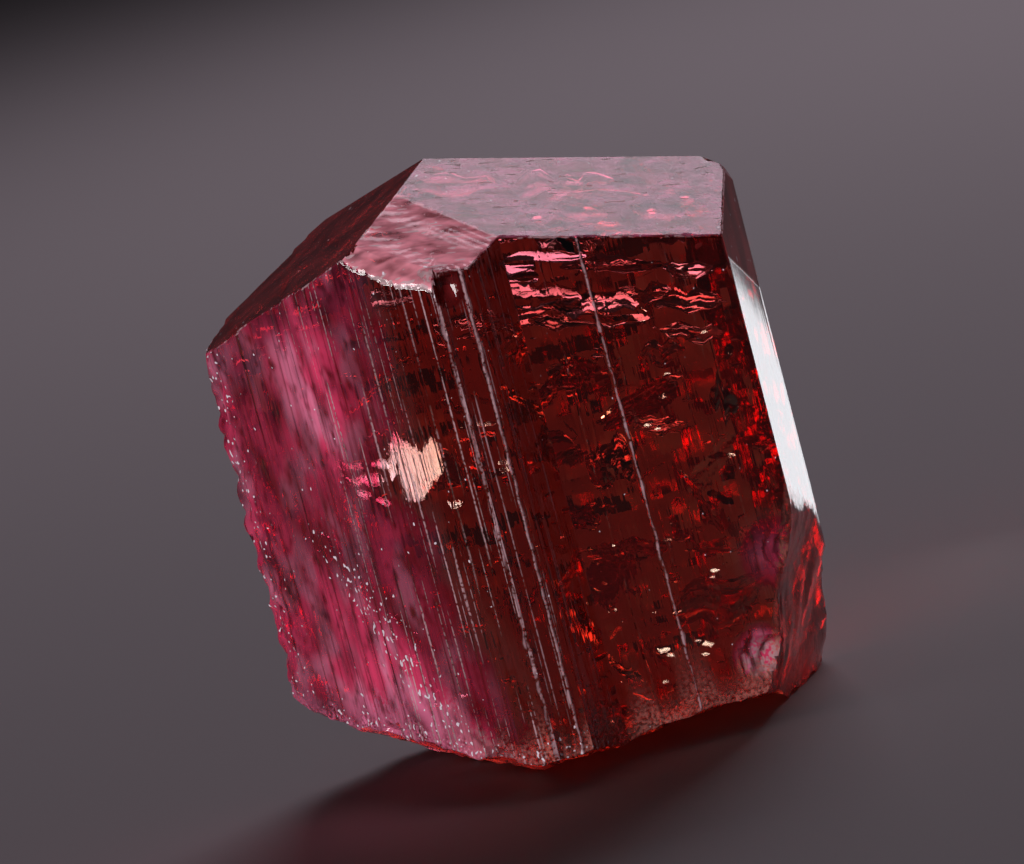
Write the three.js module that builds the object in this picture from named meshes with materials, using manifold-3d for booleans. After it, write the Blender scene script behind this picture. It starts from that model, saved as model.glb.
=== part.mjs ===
// A liddicoatite tourmaline crystal: one stout prism, striated lengthwise, closed at the top by a low
// pyramid of three faces and broken across at the bottom. It stands on the high spots of that break.
//
// Lengths are millimetres. +Z runs up the prism axis, +X to the right along the widest way and +Y away
// from the broad front face. The origin is on the ground, under the middle of the crystal's box.

import * as THREE from 'three';
import { mergeVertices } from 'three/addons/utils/BufferGeometryUtils.js';
import Module from 'manifold-3d';

const wasm = await Module();
wasm.setup();

// Overall size
const HEIGHT = 49.0;
const HALF_WIDTH = 22.5;
const HALF_DEPTH = 15.7;

// Pyramid on top: its tip, and how steeply its faces lie on the axis
const TIP = [-1.2, 0.5, HEIGHT];
const PYRAMID_SLOPE = 27.4;
const PYRAMID_TURNS = [180, 60, -60];

// Prism: the broad front face, the step beside it and the crest that stands out at its left
const FRONT_Y = -11.2;
const FRONT_RIGHT = [19.25, FRONT_Y];
const FRONT_STEP = [2.3, FRONT_Y];
const CREST_X = -3.8;

// Sides of the prism seen from above, anticlockwise from the front right edge to the crest: the corner
// where each starts, and the pitch and the depth of its striation
const SIDES_TO_CREST = [
  [...FRONT_RIGHT, 3.2, 0.08],
  [22.35, 1.2, 2.0, 0.05],
  [HALF_WIDTH, 2.6, 1.4, 0.16],
  [21.5, 5.8, 1.5, 0.25],
  [17.6, 10.7, 1.6, 0.25],
  [10.2, 14.6, 1.4, 0.2],
  [4.4, HALF_DEPTH, 2.2, 0.14],
  [-9.4, HALF_DEPTH, 1.3, 0.18],
  [-13.6, 15.5, 1.2, 0.25],
  [-19.7, 12.8, 1.2, 0.2],
  [-21.8, 9.6, 1.2, 0.16],
  [-HALF_WIDTH, 6.2, 1.1, 0.12],
  [-21.6, 4.2, 0.9, 0.22],
  [-18.0, 0.2, 0.8, 0.2],
  [-15.6, -3.6, 0.9, 0.22],
  [-13.3, -8.1, 0.7, 0.24],
  [-9.3, -12.2, 0.7, 0.24],
  [-6.6, -14.3, 0.8, 0.14],
  [CREST_X - 0.6, -15.35],
];
// The crest and the second raised line beside it
const CREST = [
  [CREST_X - 0.2, -HALF_DEPTH],
  [CREST_X + 0.2, -HALF_DEPTH],
  [CREST_X + 0.5, -15.3],
  [-1.9, -15.1],
  [-1.5, -15.35],
  [-1.1, -15.2],
];
const SIDE_FROM_CREST = [
  [-0.8, -14.8, 1.3, 0.16],
  FRONT_STEP,
];
// Ribs that run the length of the front face: x, width, height
const FRONT_RIBS = [
  [5.1, 0.5, 0.1],
  [8.3, 0.6, 0.22],
  [9.1, 0.4, 0.1],
  [13.6, 0.5, 0.08],
];

// Small faces that trim the corners: which way each one looks, and a point on it
const TRIMMING_FACES = [
  // A slightly steeper face that spoils the front corner of the pyramid, over the crest
  { turn: -67.7, slope: 28.4, through: [-3.55, -5.3, 47.0] },
  // The worn front edge under it
  { turn: -108, slope: 58, through: [CREST_X, -15.1, 41.7] },
  // The blunt upper right corner, worn to two small faces
  { turn: 6, slope: 38, through: [20.9, 0.5, 42.95] },
  { turn: -4, slope: 66, through: [21.85, 0.3, 41.9] },
  // The blunt left end, and the slight taper under it
  { turn: 172, slope: 55, through: [-22.1, 6.5, 38.0] },
  { turn: 178, slope: 83, through: [-22.05, 6.0, 36.3] },
];

// Growth ledges: the pyramid face that each crosses, which way its riser looks, how far from the tip
// it stands, and how much lower the face lies beyond it
const LEDGES = [
  { face: 180, turn: 174, distance: 8.5, drop: 0.12 },
  { face: 180, turn: 187, distance: 13.2, drop: 0.28 },
  { face: 180, turn: 176, distance: 17.6, drop: 0.45 },
  { face: -60, turn: -24, distance: 20.2, drop: 0.14 },
];
const RISER_SLOPE = 80;

// Break at the bottom
const BREAK_BLOCK = [50, 36, 12];
const FRONT_UNDERCUT = 0.207;
const UNDERCUT_BACK = 3.5;
const BACK_RISE = 0.35;
const BACK_RISE_START = 9.5;
const BREAK_FLOOR = -0.3;
const BREAK_CELL = 1.25;
const HACKLE_HEIGHT = 0.75;
const HACKLE_BASE = -0.1;
const REST_SPOT = [2.5, 4.0];
const REST_SPOT_REACH = 4.5;
const REST_SPOT_DEPTH = 1.6;
// Height of the break's rim along x. It climbs steeply to the left and less to the right.
const BREAK_RIM = [
  [-22.5, 9.4], [-21, 7.3], [-18, 5.2], [-14.4, 3.0], [-9, 0], [-5, -1.9],
  [2, -1.8], [7, -1.1], [14.6, -0.9], [16.4, -2.1], [19.5, -1.2], [22.5, 4.5],
];

// Break across the lower right corner, with low shell-like ripples
const CORNER_BREAK_TOP = 16.2;
const CORNER_BREAK_WAY = [0.88, -0.357, -0.306];
const CORNER_BREAK_CELL = 1.6;
const CORNER_BLOCK = [44, 44, 12];
const CORNER_HACKLE_HEIGHT = 0.3;
const CORNER_HACKLE_SPREAD = 0.6;
const RIPPLE_HEIGHT = 0.35;
const RIPPLE_LENGTH = 8.4;
const RIPPLE_CENTRE = [9, -14];

// Chips and pits: place and half size
const CHIPS = [
  [[-2.7, -15.6, 40.7], [1.1, 0.95, 1.05]],
  [[14.2, -12.6, 5.4], [2.6, 2.1, 2.4]],
  [[17.6, -12.0, 13.2], [1.9, 1.3, 2.2]],
  [[-22.9, 5.2, 27.5], [1.1, 1.6, 2.2]],
  [[-22.8, 6.4, 18.0], [1.0, 1.8, 1.6]],
  [[-22.4, 3.6, 12.6], [1.3, 1.7, 1.4]],
  [[-16.6, -4.6, 5.4], [2.4, 2.0, 1.6]],
  [[-8.8, -13.6, 3.0], [1.9, 1.4, 1.5]],
  [[7.0, 16.4, 4.0], [3.2, 1.7, 3.0]],
  [[19.6, 10.2, 24.0], [1.6, 1.6, 2.4]],
];
const CHIP_LUMPS = 0.24;

// Larger than the crystal every way, for the blocks that cut it
const CUTTER = 120;

// Turns and slopes in degrees to a direction: 0 turn is +X, 90 turn is +Y, 0 slope is straight up.
function direction(turn, slope) {
  const t = THREE.MathUtils.degToRad(turn);
  const s = THREE.MathUtils.degToRad(slope);
  return new THREE.Vector3(Math.sin(s) * Math.cos(t), Math.sin(s) * Math.sin(t), Math.cos(s));
}

// A closed three.js geometry as a solid that can be cut and joined.
function solid(geometry) {
  const bare = geometry.clone();
  bare.deleteAttribute('normal');
  bare.deleteAttribute('uv');
  const merged = mergeVertices(bare, 1e-5);
  return new wasm.Manifold(new wasm.Mesh({
    numProp: 3,
    vertProperties: new Float32Array(merged.attributes.position.array),
    triVerts: new Uint32Array(merged.index.array),
  }));
}

// Everything on the outer side of a flat face through a point.
function beyond(normal, point) {
  const block = new THREE.BoxGeometry(CUTTER, CUTTER, CUTTER).translate(0, 0, CUTTER / 2);
  const turn = new THREE.Quaternion().setFromUnitVectors(new THREE.Vector3(0, 0, 1), normal);
  return solid(block.applyQuaternion(turn).translate(...point));
}

// A block whose upper side is a rough surface z = height(x, y).
function roughBlock([width, depth, thickness], cell, height) {
  const block = new THREE.BoxGeometry(
    width, depth, thickness, Math.round(width / cell), Math.round(depth / cell), 1);
  const place = block.attributes.position;
  for (let i = 0; i < place.count; i += 1) {
    if (place.getZ(i) > 0) place.setZ(i, height(place.getX(i), place.getY(i)));
    else place.setZ(i, -thickness);
  }
  return block;
}

// A repeatable number from 0 to 1 for the n-th of a row of like things.
function varied(n) {
  const s = Math.sin(n * 12.9898 + 4.1414) * 43758.5453;
  return s - Math.floor(s);
}

// A straight line through [x, value] points.
function lineThrough(points, x) {
  for (let i = 1; i < points.length; i += 1) {
    const [x0, v0] = points[i - 1];
    const [x1, v1] = points[i];
    if (x <= x1) return v0 + (v1 - v0) * Math.max(0, (x - x0) / (x1 - x0));
  }
  return points[points.length - 1][1];
}

// A striated side from corner a to corner b, seen from above: slivers of the two prism faces on
// either hand take turns, which makes a shallow saw edge of uneven pitch. It leaves out corner b.
function striated(a, b, pitch, relief, seed) {
  const run = [b[0] - a[0], b[1] - a[1]];
  const length = Math.hypot(...run);
  const inward = [-run[1] / length, run[0] / length];
  const count = Math.max(1, Math.round(length / pitch));
  const points = [];
  for (let i = 0; i < count; i += 1) {
    const start = (i + (i > 0 ? 0.5 * varied(seed + i) - 0.25 : 0)) / count;
    const valley = (i + 0.35 + 0.4 * varied(seed + i + 31)) / count;
    const depth = relief * (0.3 + 0.7 * varied(seed + i + 57));
    points.push([a[0] + run[0] * start, a[1] + run[1] * start]);
    points.push([
      a[0] + run[0] * valley + inward[0] * depth,
      a[1] + run[1] * valley + inward[1] * depth,
    ]);
  }
  return points;
}

// A raised rib that runs the length of the front face, at x.
function rib(x, width, height) {
  return [
    [x - width / 2, FRONT_Y],
    [x - width / 5, FRONT_Y - height],
    [x + width / 5, FRONT_Y - height * 0.8],
    [x + width / 2, FRONT_Y],
  ];
}

// A row of striated sides through the corners, up to the last corner, which it leaves out.
function striatedSides(corners, seed) {
  return corners.slice(0, -1).flatMap(([x, y, pitch, relief], i) => (
    striated([x, y], corners[i + 1], pitch, relief, seed + 11 * i)));
}

// Outline of the prism seen from above, anticlockwise from the front right edge.
function prismOutline() {
  return [
    ...striatedSides(SIDES_TO_CREST, 1),
    ...CREST,
    ...striatedSides(SIDE_FROM_CREST, 263),
    ...FRONT_RIBS.flatMap(([x, width, height]) => rib(x, width, height)),
  ];
}

// The prism, cut by the pyramid's faces and by the small faces that trim its corners.
function terminatedPrism() {
  const shape = new THREE.Shape(prismOutline().map(([x, y]) => new THREE.Vector2(x, y)));
  let crystal = solid(new THREE.ExtrudeGeometry(shape, { depth: HEIGHT + 1, bevelEnabled: false }));

  for (const turn of PYRAMID_TURNS) {
    crystal = crystal.subtract(beyond(direction(turn, PYRAMID_SLOPE), TIP));
  }
  for (const { turn, slope, through } of TRIMMING_FACES) {
    crystal = crystal.subtract(beyond(direction(turn, slope), through));
  }
  return crystal;
}

// Lowers a pyramid face beyond a growth ledge.
function withLedge(crystal, { face, turn, distance, drop }) {
  const outward = direction(face, PYRAMID_SLOPE);
  const lowered = new THREE.Vector3(...TIP).addScaledVector(outward, -drop);
  const foot = new THREE.Vector3(...TIP).addScaledVector(direction(turn, 90), distance);
  const past = beyond(direction(turn, RISER_SLOPE), foot.toArray());
  return crystal.subtract(beyond(outward, lowered.toArray()).intersect(past));
}

// Hackle: the ribs and steps of a brittle break, from 0 up to about 1.
function hackle(x, y) {
  const ribs = Math.abs(Math.sin(0.55 * x + 0.38 * y + 0.9 * Math.sin(0.31 * y)));
  const steps = Math.abs(Math.sin(0.83 * y - 0.47 * x + 1.1 * Math.sin(0.27 * x + 1)));
  const rings = 0.5 + 0.5 * Math.sin(1.25 * Math.hypot(x + 19, y + 13));
  return 0.42 * ribs + 0.34 * steps + 0.3 * rings;
}

// Height of the lower break. The front is undercut, and the middle stays low, where the high spots
// reach the ground. The widest of those spots is at REST_SPOT.
function breakHeight(x, y) {
  const rim = lineThrough(BREAK_RIM, x) + FRONT_UNDERCUT * (UNDERCUT_BACK - y);
  const backRise = BACK_RISE * Math.max(0, y - BACK_RISE_START);
  const spot = Math.max(0, 1 - Math.hypot(x - REST_SPOT[0], y - REST_SPOT[1]) / REST_SPOT_REACH);
  const floor = Math.max(rim + backRise, BREAK_FLOOR) + HACKLE_BASE;
  return floor + HACKLE_HEIGHT * hackle(x, y) - REST_SPOT_DEPTH * spot;
}

// Height of the corner break above its own plane.
function cornerRelief(x, y) {
  const away = Math.hypot(x - RIPPLE_CENTRE[0], y - RIPPLE_CENTRE[1]);
  const ripple = RIPPLE_HEIGHT * Math.sin((2 * Math.PI * away) / RIPPLE_LENGTH);
  const rough = hackle(CORNER_HACKLE_SPREAD * x, CORNER_HACKLE_SPREAD * y) - 1;
  return ripple + CORNER_HACKLE_HEIGHT * rough;
}

// Takes off what lies under the lower break, and the lower right corner.
function brokenBase(crystal) {
  const under = roughBlock(BREAK_BLOCK, BREAK_CELL, breakHeight);
  const ground = beyond(new THREE.Vector3(0, 0, -1), [0, 0, 0]);

  const corner = roughBlock(CORNER_BLOCK, CORNER_BREAK_CELL, cornerRelief);
  const inward = new THREE.Vector3(...CORNER_BREAK_WAY).normalize().negate();
  const turn = new THREE.Quaternion().setFromUnitVectors(new THREE.Vector3(0, 0, 1), inward);
  corner.applyQuaternion(turn).translate(...FRONT_RIGHT, CORNER_BREAK_TOP);
  return crystal.subtract(solid(under)).subtract(ground).subtract(solid(corner));
}

// A shallow chip or pit: a lumpy ball pressed into the surface.
function withChip(crystal, place, size, seed) {
  const ball = new THREE.IcosahedronGeometry(1, 2);
  const merged = mergeVertices(ball.deleteAttribute('normal').deleteAttribute('uv'), 1e-5);
  const spot = merged.attributes.position;
  for (let i = 0; i < spot.count; i += 1) {
    const grow = 1 + CHIP_LUMPS * (varied(seed + i) - 0.5);
    spot.setXYZ(i, spot.getX(i) * grow, spot.getY(i) * grow, spot.getZ(i) * grow);
  }
  return crystal.subtract(solid(merged.scale(...size).translate(...place)));
}

// The whole crystal, as it was grown, broken and worn.
function wornCrystal() {
  let crystal = terminatedPrism();
  for (const ledge of LEDGES) {
    crystal = withLedge(crystal, ledge);
  }
  crystal = brokenBase(crystal);
  CHIPS.forEach(([place, size], i) => {
    crystal = withChip(crystal, place, size, 11 + 18 * i);
  });
  return crystal;
}

const cut = wornCrystal().getMesh();
const geometry = new THREE.BufferGeometry();
geometry.setAttribute('position', new THREE.BufferAttribute(new Float32Array(cut.vertProperties), 3));
geometry.setIndex(new THREE.BufferAttribute(new Uint32Array(cut.triVerts), 1));
geometry.computeVertexNormals();

const tourmaline = new THREE.MeshStandardMaterial({
  name: 'tourmaline',
  color: 0x6b1526,
  roughness: 0.15,
  metalness: 0,
  flatShading: true,
});

const crystal = new THREE.Mesh(geometry, tourmaline);
crystal.name = 'crystal';

const group = new THREE.Group();
group.add(crystal);

export default group;
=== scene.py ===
import bpy
import numpy as np
from mathutils import Matrix


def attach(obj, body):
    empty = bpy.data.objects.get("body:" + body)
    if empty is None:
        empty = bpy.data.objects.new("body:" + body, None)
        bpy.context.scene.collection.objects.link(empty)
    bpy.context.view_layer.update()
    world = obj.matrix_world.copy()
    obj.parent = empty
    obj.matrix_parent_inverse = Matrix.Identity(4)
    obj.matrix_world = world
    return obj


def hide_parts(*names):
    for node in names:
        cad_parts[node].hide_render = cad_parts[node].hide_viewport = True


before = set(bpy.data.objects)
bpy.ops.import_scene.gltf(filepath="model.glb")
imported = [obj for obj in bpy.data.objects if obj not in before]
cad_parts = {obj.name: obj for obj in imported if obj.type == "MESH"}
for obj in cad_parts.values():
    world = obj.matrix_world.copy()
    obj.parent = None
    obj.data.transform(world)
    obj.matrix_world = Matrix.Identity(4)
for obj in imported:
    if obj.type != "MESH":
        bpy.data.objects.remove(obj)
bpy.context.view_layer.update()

# Camera
# The photograph looks a little down on the broad front face from just under half a metre, with the
# crystal leaning to the left in the picture, so the camera is rolled by that lean.
MM = 0.001
AIM = np.array([0.15, 0.5, 23.6]) * MM
CAMERA_DISTANCE = 450 * MM
CAMERA_ELEVATION = 9.45
CAMERA_TURN = -2.92
CAMERA_ROLL = -14.75
CAMERA_LENS = 197.75
CAMERA_SHIFT = (-0.0078, 0.0273)

elevation, turn, roll = np.radians([CAMERA_ELEVATION, CAMERA_TURN, CAMERA_ROLL])
back = np.array([
    np.sin(turn) * np.cos(elevation),
    -np.cos(turn) * np.cos(elevation),
    np.sin(elevation),
])
level_right = np.cross(-back, [0, 0, 1])
level_right /= np.linalg.norm(level_right)
level_up = np.cross(back, level_right)
right = np.cos(roll) * level_right + np.sin(roll) * level_up
up = -np.sin(roll) * level_right + np.cos(roll) * level_up

camera = bpy.data.objects.new("camera", bpy.data.cameras.new("camera"))
pose = np.eye(4)
pose[:3] = np.stack([right, up, back, AIM + CAMERA_DISTANCE * back], axis=1)
camera.matrix_world = Matrix(pose.tolist())
camera.data.lens = CAMERA_LENS
camera.data.sensor_width = 36
camera.data.shift_x, camera.data.shift_y = CAMERA_SHIFT
bpy.context.scene.collection.objects.link(camera)
bpy.context.scene.camera = camera

# Crystal
# One single crystal of liddicoatite tourmaline. It grew in a pocket as a stout striated prism under a
# low pyramid of three faces, and broke off across the bottom and at the lower right corner.
TIP = np.array([-1.2, 0.5, 49.0])
PYRAMID_SLOPE = 27.4
CREST_TOP = (-3.8, -15.1, 41.7)

# Corners of the prism seen from above, anticlockwise from the front right edge: x, y, how far apart
# the columns of the mesh stand along the side that starts there, and how deep that side is striated.
CORNERS = np.array([
    [19.25, -11.2, 0.40, 0.004],
    [22.35, 1.2, 0.40, 0.03],
    [22.5, 2.6, 0.40, 0.14],
    [21.5, 5.8, 0.42, 0.22],
    [17.6, 10.7, 0.42, 0.22],
    [10.2, 14.6, 0.42, 0.20],
    [4.4, 15.7, 0.50, 0.12],
    [-9.4, 15.7, 0.42, 0.18],
    [-13.6, 15.5, 0.40, 0.22],
    [-19.7, 12.8, 0.32, 0.20],
    [-21.8, 9.6, 0.24, 0.14],
    [-22.5, 6.2, 0.18, 0.12],
    [-21.6, 4.2, 0.14, 0.20],
    [-18.0, 0.2, 0.13, 0.16],
    [-15.6, -3.6, 0.12, 0.16],
    [-13.3, -8.1, 0.11, 0.15],
    [-9.3, -12.2, 0.10, 0.14],
    [-6.6, -14.3, 0.10, 0.10],
    [-4.4, -15.4, 0.08, 0.03],
    [-4.0, -15.7, 0.08, 0.02],
    [-3.6, -15.7, 0.08, 0.02],
    [-3.2, -15.3, 0.09, 0.05],
    [-0.8, -14.9, 0.11, 0.05],
    [2.3, -11.2, 0.14, 0.03],
])


def direction(turn, slope):
    """Unit vector turned from +X towards +Y by `turn` and leaning from +Z by `slope`, in degrees."""
    t, s = np.radians([turn, slope])
    return np.array([np.sin(s) * np.cos(t), np.sin(s) * np.sin(t), np.cos(s)])


def wander(p, size, seed, waves=12):
    """Smooth random field from about -1 to 1: the sum of sine waves roughly `size` long."""
    draw = np.random.default_rng(seed)
    k = draw.normal(size=(waves, p.shape[-1]))
    k *= 2 * np.pi / (size * draw.uniform(0.6, 1.6, (waves, 1)) * np.linalg.norm(k, axis=1)[:, None])
    phase = draw.uniform(0, 2 * np.pi, waves)
    return 2 * np.sin(np.tensordot(p, k, (-1, 1)) + phase).mean(-1)


def saw(s, pitch, seed):
    """Uneven saw edge along s, from 0 to 1: tips and valleys about half a pitch apart, joined straight."""
    draw = np.random.default_rng(seed)
    count = 2 * int(s.max() / pitch + 2)
    knots = np.cumsum(draw.uniform(0.15, 0.85, count)) * pitch
    depth = draw.uniform(0.2, 1.0, count)
    depth[::2] = 0
    return np.interp(s, knots, depth)


def from_tip(s, pitch, seed):
    """Distance along s to the nearest tip of the saw of the same pitch and seed."""
    draw = np.random.default_rng(seed)
    count = 2 * int(s.max() / pitch + 2)
    tips = (np.cumsum(draw.uniform(0.15, 0.85, count)) * pitch)[::2]
    after = np.clip(np.searchsorted(tips, s), 1, len(tips) - 1)
    return np.minimum(np.abs(s - tips[after - 1]), np.abs(s - tips[after]))


def fall(x, start, end):
    """Smooth step: 0 at start, 1 at end."""
    t = np.clip((x - start) / (end - start), 0, 1)
    return t * t * (3 - 2 * t)


def blot(points, centre, radius, power=2):
    """Round spot in space: 1 at its centre, falling to 0 past its radius, steeper at a higher power."""
    return np.exp(-(np.linalg.norm(points - centre, axis=-1) / radius) ** power)


def plane_height(x, y, turn, slope, point):
    """Height of a flat face over (x, y)."""
    n = direction(turn, slope)
    return point[2] - ((x - point[0]) * n[0] + (y - point[1]) * n[1]) / n[2]


def pyramid_faces(x, y):
    """Heights over (x, y) of all the faces that close the top, stepped down at their growth ledges."""
    along_left = -(x - TIP[0])
    left = plane_height(x, y, 180, PYRAMID_SLOPE, TIP)
    for place, drop, lean in ((8.5, 0.12, -0.10), (13.2, 0.16, 0.12), (17.6, 0.17, -0.07)):
        left = left - drop * fall(along_left + lean * (y - TIP[1]), place, place + 0.12)
    bright = plane_height(x, y, -60, PYRAMID_SLOPE, TIP)
    bright = bright - 0.006 * wander(np.stack([x, y], -1), 2.2, 9)
    spoilt = plane_height(x, y, -67.7, 28.4, (-3.55, -5.3, 47.0))
    # Growth steps on the spoilt face, side by side with its border against the bright one
    across = -0.76 * (x + 3.55) - 0.65 * (y + 5.3) + 0.02 * (x + 1) ** 2
    uneven = 0.5 + 0.5 * np.sin(1.9 * across + 0.5 * x)
    spoilt = spoilt - 0.035 * uneven * (0.5 + 0.5 * np.sin(10.5 * across + 0.8 * np.sin(0.9 * x)))
    worn = plane_height(x, y, -108, 58, CREST_TOP)
    corner = plane_height(x, y, 6, 38, (20.9, 0.5, 42.95))
    corner_low = plane_height(x, y, -4, 66, (21.85, 0.3, 41.9))
    left_end = plane_height(x, y, 172, 55, (-22.1, 6.5, 38.0))
    rear = plane_height(x, y, 60, PYRAMID_SLOPE, TIP)
    return np.stack([left, spoilt, worn, corner, corner_low, bright, left_end, rear])


LEFT_FACE, SPOILT_FACE, WORN_FACE, CORNER_FACE, LOW_CORNER_FACE = range(5)


def pyramid_height(x, y):
    """Height of the top: the lowest of its faces."""
    return pyramid_faces(x, y).min(axis=0)


def hackle(x, y):
    """Ribs and steps of a brittle break, from 0 up to about 1."""
    ribs = np.abs(np.sin(0.55 * x + 0.38 * y + 0.9 * np.sin(0.31 * y)))
    steps = np.abs(np.sin(0.83 * y - 0.47 * x + 1.1 * np.sin(0.27 * x + 1)))
    rings = 0.5 + 0.5 * np.sin(1.25 * np.hypot(x + 19, y + 13))
    return 0.42 * ribs + 0.34 * steps + 0.3 * rings


# The rim of the lower break at the front, from left to right: x, z
BREAK_RIM = np.array([
    [-22.5, 9.4], [-21, 7.3], [-18, 5.2], [-14.4, 3.0], [-9, 0], [-5, -1.9],
    [2, -1.8], [7, -1.1], [14.6, -0.9], [16.4, -2.1], [19.5, -1.2], [22.5, 4.5],
])


def break_height(x, y):
    """Height of the lower break: a rim that climbs to both sides, an undercut front, a low middle."""
    rim = np.interp(x, BREAK_RIM[:, 0], BREAK_RIM[:, 1]) + 0.207 * (3.5 - y)
    back_rise = 0.35 * np.maximum(0, y - 9.5)
    spot = np.maximum(0, 1 - np.hypot(x - 2.5, y - 4.0) / 4.5)
    fine = 0.12 * np.abs(wander(np.stack([x, y], -1), 1.6, 5))
    z = np.maximum(rim + back_rise, -0.3) + 0.75 * hackle(x, y) - 0.1 - 1.6 * spot + fine
    return np.maximum(z, 0)


# Raised lines along the front: where each stands at the bottom and at the top (x), how wide, how high
RIBS = np.array([
    [-1.65, -1.35, 0.14, 0.12],
    [0.9, 0.6, 0.09, 0.03],
    [5.1, 4.9, 0.08, 0.04],
    [5.9, 5.6, 0.06, 0.03],
    [8.4, 8.1, 0.13, 0.10],
    [9.2, 9.0, 0.07, 0.04],
    [11.4, 11.4, 0.05, 0.02],
    [13.6, 13.4, 0.06, 0.03],
])

# Columns round the prism: a multiple of 4 on every side, so that the caps can halve them.
ring = np.vstack([CORNERS, CORNERS[:1]])
stretch = np.hypot(*np.diff(ring[:, :2], axis=0).T)
pieces = 4 * np.maximum(1, np.round(stretch / CORNERS[:, 2] / 4).astype(int))
part = np.concatenate([np.arange(n) / n for n in pieces])
side = np.repeat(np.arange(len(CORNERS)), pieces)
# Along the front face they crowd at the raised lines, which are finer than their usual spacing.
front = side == len(CORNERS) - 1
even = np.linspace(0, 1, 2001)
front_x = ring[-2, 0] + even * (ring[-1, 0] - ring[-2, 0])
crowd = 1 + 2.5 * np.exp(-((front_x[:, None] - RIBS[:, :2].mean(1)) / 0.25) ** 2).sum(1)
part[front] = np.interp(part[front], np.cumsum(crowd) / crowd.sum() - 0.0004, even)
outline = ring[side, :2] + part[:, None] * (ring[side + 1, :2] - ring[side, :2])
travel = np.concatenate([[0], np.cumsum(stretch)])[side] + part * stretch[side]
axis = TIP[:2]
spoke = outline - axis
# The ridges of the pyramid run down from the tip, so the nearest even column is turned onto each.
for ridge in (0, 120, -120):
    aim = np.array([np.cos(np.radians(ridge)), np.sin(np.radians(ridge))])
    nearest = 2 * np.argmax(spoke[::2] @ aim / np.hypot(*spoke[::2].T))
    spoke[nearest] = aim * (spoke[nearest] @ aim)
outline = axis + spoke
reach = np.hypot(*spoke.T)
columns = len(outline)
relief = CORNERS[side, 3] * np.minimum(1, 6 * np.minimum(part, 1 - part) * stretch[side] + 0.25)

# Rows up each column: close together by both rims, and evenly spread between
EDGE_ROWS = np.array([0.0, 0.06, 0.14, 0.26, 0.45])
MIDDLE_ROWS = 60


def grooves(z):
    """Depth of the striation at height z in every column: three saws of falling pitch, fading along z."""
    s = travel[:, None] + 0 * z
    fade = np.clip(0.75 + 0.5 * wander(np.stack([s * 0.8, z * 0.12], -1), 3.0, 11), 0.2, 1.2)
    fade_2 = np.clip(0.7 + 0.6 * wander(np.stack([s * 2.0, z * 0.2], -1), 3.0, 12), 0, 1.3)
    coarse = saw(travel, 1.3, 1)[:, None]
    middle = saw(travel, 0.5, 2)[:, None]
    fine = saw(travel, 0.22, 3)[:, None]
    return relief[:, None] * (0.75 * coarse + 0.4 * middle * fade + 0.25 * fine * fade_2)


def beads(z, seed):
    """Ragged height along a line, from 0 to about 1.5: a smooth field with sharp lumps on it."""
    lumps = np.clip(wander(z[..., None], 1.3, seed), 0, 1) ** 2
    crumbs = np.clip(wander(z[..., None], 0.45, seed + 25), 0, 1)
    slow = 0.4 + 0.3 * wander(z[..., None], 6.0, seed + 50)
    return np.clip(slow + 1.0 * lumps + 0.5 * crumbs, 0, 1.6)


def ribs(z):
    """Raised lines on the front, ragged in height and width along their length."""
    x = outline[:, :1] + 0 * z
    total = 0 * z
    for n, (bottom, top, width, height) in enumerate(RIBS):
        place = bottom + (top - bottom) * z / 40 + 0.08 * wander(z[..., None], 3.0, 80 + n)
        swell = beads(z, 20 + n)
        ridge = np.exp(-((x - place) / (width * (0.75 + 0.3 * swell))) ** 2)
        total = total + height * (0.4 + 0.6 * swell) * ridge
    return total * (outline[:, 1:] < -11)


# The front right edge (x, y), the slanting break at its lower end, the taper of the upper left end,
# and the chips: the place of each and its half size along x, y and z
FRONT_RIGHT_EDGE = (19.25, -11.2)
BREAK_FACE = np.array([0.88, -0.357, -0.306])
BREAK_FACE /= np.linalg.norm(BREAK_FACE)
BREAK_PLACE = np.array([*FRONT_RIGHT_EDGE, 16.2])
TAPER_FACE = direction(178, 83)
TAPER_PLACE = np.array([-22.05, 6.0, 36.3])
CHIPS = (
    (-2.7, -15.6, 40.7, 1.1, 0.95, 1.05),
    (14.2, -12.6, 5.4, 2.6, 2.1, 2.4),
    (17.6, -12.0, 13.2, 1.9, 1.3, 2.2),
    (-22.9, 5.2, 27.5, 1.1, 1.6, 2.2),
    (-22.8, 6.4, 18.0, 1.0, 1.8, 1.6),
    (-22.4, 3.6, 12.6, 1.3, 1.7, 1.4),
    (-16.6, -4.6, 5.4, 2.4, 2.0, 1.6),
    (-8.8, -13.6, 3.0, 1.9, 1.4, 1.5),
    (7.0, 16.4, 4.0, 3.2, 1.7, 3.0),
    (19.6, 10.2, 24.0, 1.6, 1.6, 2.4),
)


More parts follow.
